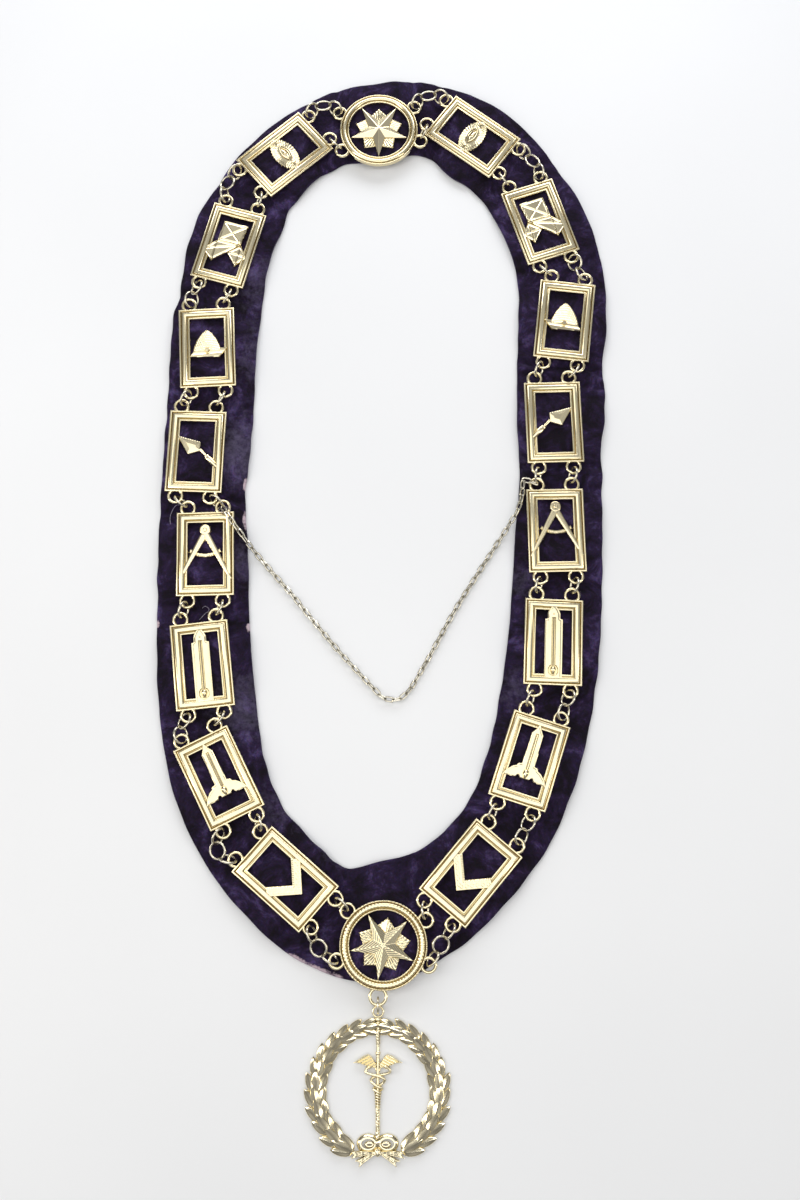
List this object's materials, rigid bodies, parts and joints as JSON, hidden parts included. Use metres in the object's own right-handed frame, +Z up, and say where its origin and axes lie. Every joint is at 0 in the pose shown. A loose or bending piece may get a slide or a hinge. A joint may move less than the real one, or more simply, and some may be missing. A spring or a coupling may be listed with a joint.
{
  "type": "chain of office",
  "caption": "Chain of office: gilt framed plaques and two star medallions on a padded purple velvet collar, with a wreath jewel in front and a fine safety chain across.",
  "frame": {"origin": "under the middle of the object's box, on the surface that it lies on", "axes": "+Y towards the nape medallion, +Z up, +X to the right seen from above with the nape at the top"},
  "size_m": [0.2148, 0.522, 0.0108],
  "materials": {
    "cast_gold": "gilt casting, polished on the high parts",
    "ring_gold": "pale gilt wire",
    "chain_gold": "pale gilt fine chain",
    "velvet": "dark purple velvet, padded"
  },
  "bodies": {
    "root": {"velvet_collar": "velvet", "nape_medallion": "cast_gold", "outer_rings_nape_medallion": "ring_gold", "inner_rings_nape_medallion": "ring_gold", "right_plaque_1": "cast_gold", "outer_rings_right_plaque_1": "ring_gold", "inner_rings_right_plaque_1": "ring_gold", "right_plaque_2": "cast_gold", "outer_rings_right_plaque_2": "ring_gold", "inner_rings_right_plaque_2": "ring_gold", "right_plaque_3": "cast_gold", "outer_rings_right_plaque_3": "ring_gold", "inner_rings_right_plaque_3": "ring_gold", "right_plaque_4": "cast_gold", "outer_rings_right_plaque_4": "ring_gold", "inner_rings_right_plaque_4": "ring_gold", "right_plaque_5": "cast_gold", "outer_rings_right_plaque_5": "ring_gold", "inner_rings_right_plaque_5": "ring_gold", "right_plaque_6": "cast_gold", "outer_rings_right_plaque_6": "ring_gold", "inner_rings_right_plaque_6": "ring_gold", "right_plaque_7": "cast_gold", "outer_rings_right_plaque_7": "ring_gold", "inner_rings_right_plaque_7": "ring_gold", "right_plaque_8": "cast_gold", "outer_rings_right_plaque_8": "ring_gold", "inner_rings_right_plaque_8": "ring_gold", "front_medallion": "cast_gold", "outer_rings_front_medallion": "ring_gold", "inner_rings_front_medallion": "ring_gold", "left_plaque_8": "cast_gold", "outer_rings_left_plaque_8": "ring_gold", "inner_rings_left_plaque_8": "ring_gold", "left_plaque_7": "cast_gold", "outer_rings_left_plaque_7": "ring_gold", "inner_rings_left_plaque_7": "ring_gold", "left_plaque_6": "cast_gold", "outer_rings_left_plaque_6": "ring_gold", "inner_rings_left_plaque_6": "ring_gold", "left_plaque_5": "cast_gold", "outer_rings_left_plaque_5": "ring_gold", "inner_rings_left_plaque_5": "ring_gold", "left_plaque_4": "cast_gold", "outer_rings_left_plaque_4": "ring_gold", "inner_rings_left_plaque_4": "ring_gold", "left_plaque_3": "cast_gold", "outer_rings_left_plaque_3": "ring_gold", "inner_rings_left_plaque_3": "ring_gold", "left_plaque_2": "cast_gold", "outer_rings_left_plaque_2": "ring_gold", "inner_rings_left_plaque_2": "ring_gold", "left_plaque_1": "cast_gold", "outer_rings_left_plaque_1": "ring_gold", "inner_rings_left_plaque_1": "ring_gold", "jewel_ring": "ring_gold", "wreath_jewel": "cast_gold", "safety_chain": "chain_gold"}
  },
  "joints": []
}
